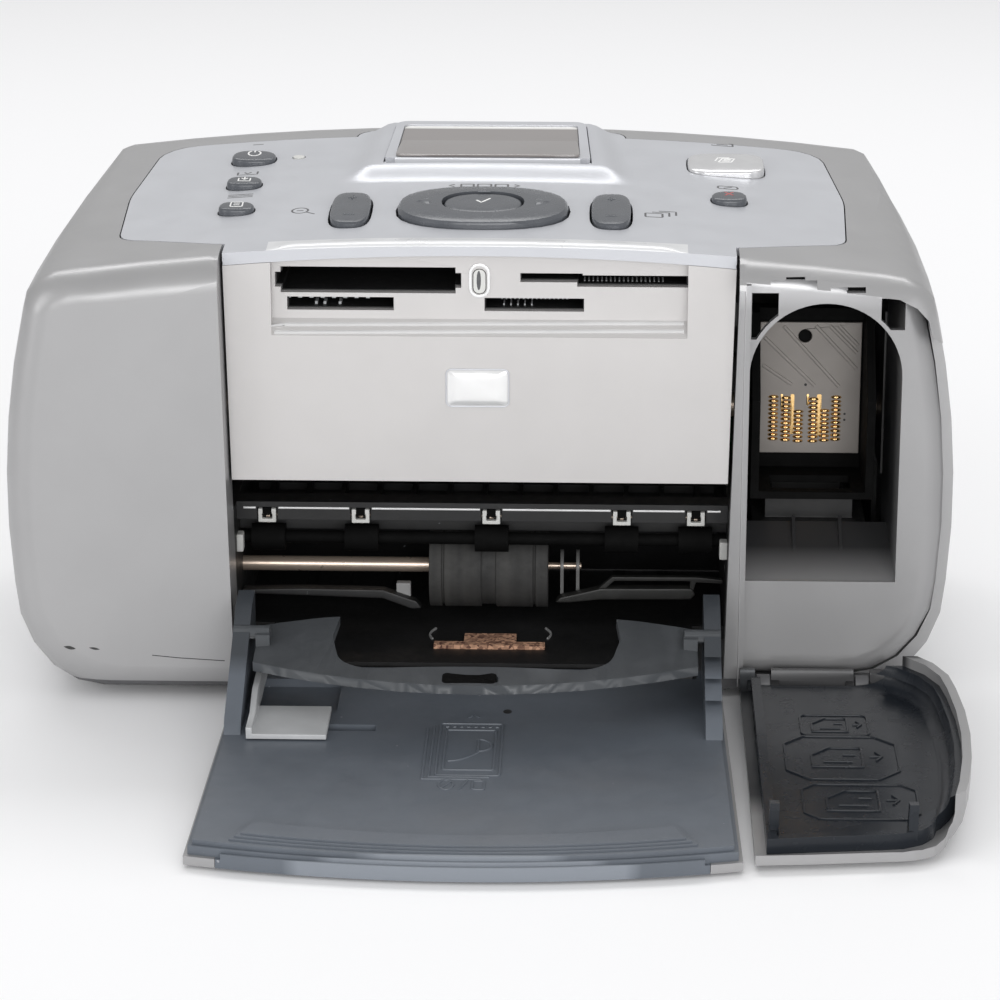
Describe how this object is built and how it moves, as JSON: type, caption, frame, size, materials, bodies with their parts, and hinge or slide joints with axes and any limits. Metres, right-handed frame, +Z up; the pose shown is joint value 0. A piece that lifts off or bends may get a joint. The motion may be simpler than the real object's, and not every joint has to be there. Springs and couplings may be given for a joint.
{
  "type": "compact photo printer",
  "caption": "Compact photo printer, opened: folding paper tray with output shelf, cartridge door and bay, card slots, tilting display, keys and sliding carriage.",
  "frame": {"origin": "on the surface the printer stands on, at the middle of its width and of its whole depth with the tray open", "axes": "+X to the printer's right as seen from the front, +Y toward its back, +Z up; the open tray points to -Y"},
  "size_m": [0.2198, 0.2176, 0.118],
  "materials": {
    "silver_cover": "fine satin metallic paint",
    "panel_silver": "light satin metallic paint",
    "warm_silver": "warm satin metallic paint",
    "case_grey": "matt grey",
    "tray_grey": "satin blue-grey",
    "guide_grey": "satin light grey",
    "key_grey": "satin dark grey",
    "key_silver": "bright satin silver",
    "black_plastic": "matt black",
    "clip_white": "natural",
    "rubber": "matt",
    "cork": "speckled",
    "steel": "ground",
    "sheet_steel": "zinc plated",
    "pulley_grey": "moulded",
    "film": "printed film",
    "board_green": "solder mask",
    "glass": "glossy, grey-brown",
    "contact_film": "flexible circuit, light grey"
  },
  "bodies": {
    "case": {"base_pan": "case_grey", "feet": "rubber", "screws": "steel", "housing": "silver_cover", "rear_cover": "silver_cover", "control_panel": "panel_silver", "front_panel": "warm_silver", "card_reader": "black_plastic", "bay_bezel": "silver_cover", "keypad_board": "board_green", "paper_channel": "black_plastic", "cork_pad": "cork", "shaft_bracket": "guide_grey", "star_wheel_bar": "black_plastic", "star_wheel_clips": "clip_white", "platen": "black_plastic", "chassis": "sheet_steel", "guide_rod": "steel", "encoder_strip": "film", "drive_belt": "rubber", "carriage_motor": "sheet_steel", "drive_gearbox": "black_plastic", "service_station": "black_plastic", "main_board": "board_green", "power_jack": "black_plastic", "usb_port": "sheet_steel", "indicator_lamps": "clip_white"},
    "output_door": {"tray_skin": "silver_cover", "tray_deck": "tray_grey"},
    "output_shelf": {"output_shelf": "tray_grey"},
    "width_guide": {"width_guide": "guide_grey"},
    "cartridge_door": {"bay_door_skin": "silver_cover", "bay_door_liner": "tray_grey"},
    "display": {"display_frame": "case_grey", "display_glass": "glass"},
    "carriage": {"carriage": "black_plastic", "contact_plate": "contact_film"},
    "pick_roller": {"pick_shaft": "steel", "pick_drum": "rubber"},
    "feed_roller": {"feed_roller": "rubber"},
    "output_roller": {"output_roller": "rubber"},
    "star_wheels": {"star_wheels": "steel"},
    "drive_pulley": {"drive_pulley": "pulley_grey"},
    "idler_pulley": {"idler_pulley": "pulley_grey"},
    "power_button": {"power_button": "key_grey"},
    "save_button": {"save_button": "key_grey"},
    "menu_button": {"menu_button": "key_grey"},
    "print_button": {"print_button": "key_silver"},
    "cancel_button": {"cancel_button": "key_grey"},
    "ok_button": {"ok_button": "key_grey"},
    "four_way_pad": {"four_way_pad": "key_grey"},
    "zoom_rocker": {"zoom_rocker": "key_grey"},
    "copies_rocker": {"copies_rocker": "key_grey"},
    "battery_cover": {"battery_cover": "case_grey"}
  },
  "joints": [
    {"name": "output_door_hinge", "type": "hinge", "parent": "case", "child": "output_door", "pos_m": [0, -0.00365, 0.005], "axis": [-1, 0, 0], "range_deg": [0, 91]},
    {"name": "output_shelf_hinge", "type": "hinge", "parent": "output_door", "child": "output_shelf", "pos_m": [0, -0.01745, 0.02176], "axis": [1, 0, 0], "range_deg": [0, 9]},
    {"name": "width_guide_slide", "type": "slide", "parent": "output_door", "child": "width_guide", "axis": [1, 0, 0], "range_m": [0, 0.013]},
    {"name": "cartridge_door_hinge", "type": "hinge", "parent": "case", "child": "cartridge_door", "pos_m": [0.078, -0.00365, 0.005], "axis": [-1, 0, 0], "range_deg": [0, 91]},
    {"name": "display_hinge", "type": "hinge", "parent": "case", "child": "display", "pos_m": [0, 0.06145, 0.1138], "axis": [1, 0, 0], "range_deg": [0, 50]},
    {"name": "carriage_slide", "type": "slide", "parent": "case", "child": "carriage", "axis": [-1, 0, 0], "range_m": [0, 0.122]},
    {"name": "pick_roller_spin", "type": "hinge", "parent": "case", "child": "pick_roller", "pos_m": [0, 0.02935, 0.0225], "axis": [1, 0, 0], "continuous": true},
    {"name": "feed_roller_spin", "type": "hinge", "parent": "case", "child": "feed_roller", "pos_m": [0, 0.05935, 0.0336], "axis": [1, 0, 0], "continuous": true},
    {"name": "output_roller_spin", "type": "hinge", "parent": "case", "child": "output_roller", "pos_m": [0, 0.01955, 0.0326], "axis": [1, 0, 0], "continuous": true},
    {"name": "star_wheels_spin", "type": "hinge", "parent": "case", "child": "star_wheels", "pos_m": [0, 0.01955, 0.0383], "axis": [1, 0, 0], "continuous": true},
    {"name": "drive_pulley_spin", "type": "hinge", "parent": "case", "child": "drive_pulley", "pos_m": [-0.066, 0.06785, 0.07], "axis": [0, 1, 0], "range_deg": [0, 1500]},
    {"name": "idler_pulley_spin", "type": "hinge", "parent": "case", "child": "idler_pulley", "pos_m": [0.088, 0.06785, 0.07], "axis": [0, 1, 0], "range_deg": [0, 1500]},
    {"name": "power_button_press", "type": "slide", "parent": "case", "child": "power_button", "axis": [0, 0.0694, -0.9976], "range_m": [0, 0.0006], "stiffness_N_per_m": 150},
    {"name": "save_button_press", "type": "slide", "parent": "case", "child": "save_button", "axis": [0, 0.0694, -0.9976], "range_m": [0, 0.0006], "stiffness_N_per_m": 150},
    {"name": "menu_button_press", "type": "slide", "parent": "case", "child": "menu_button", "axis": [0, 0.0694, -0.9976], "range_m": [0, 0.0006], "stiffness_N_per_m": 150},
    {"name": "print_button_press", "type": "slide", "parent": "case", "child": "print_button", "axis": [0, 0.0694, -0.9976], "range_m": [0, 0.0006], "stiffness_N_per_m": 150},
    {"name": "cancel_button_press", "type": "slide", "parent": "case", "child": "cancel_button", "axis": [0, 0.0694, -0.9976], "range_m": [0, 0.0006], "stiffness_N_per_m": 150},
    {"name": "ok_button_press", "type": "slide", "parent": "case", "child": "ok_button", "axis": [0, 0.0694, -0.9976], "range_m": [0, 0.0006], "stiffness_N_per_m": 150},
    {"name": "four_way_pad_tilt", "type": "hinge", "parent": "case", "child": "four_way_pad", "pos_m": [0, 0.029, 0.10824], "axis": [1, 0, 0], "range_deg": [-2, 2], "stiffness_Nm_per_rad": 0.03},
    {"name": "zoom_rocker_tilt", "type": "hinge", "parent": "case", "child": "zoom_rocker", "pos_m": [-0.031, 0.02853, 0.10733], "axis": [1, 0, 0], "range_deg": [-2, 2], "stiffness_Nm_per_rad": 0.02},
    {"name": "copies_rocker_tilt", "type": "hinge", "parent": "case", "child": "copies_rocker", "pos_m": [0.03, 0.02853, 0.10736], "axis": [1, 0, 0], "range_deg": [-2, 2], "stiffness_Nm_per_rad": 0.02},
    {"name": "battery_cover_lift_off", "type": "slide", "parent": "case", "child": "battery_cover", "axis": [0, 1, 0], "range_m": [0, 0.02]}
  ],
  "couplings": [
    {"joint": "output_roller_spin", "follows": "feed_roller_spin", "ratio": 1.5625},
    {"joint": "star_wheels_spin", "follows": "feed_roller_spin", "ratio": -2.2727},
    {"joint": "drive_pulley_spin", "follows": "carriage_slide", "rad_per_m": 200},
    {"joint": "idler_pulley_spin", "follows": "carriage_slide", "rad_per_m": 200}
  ]
}
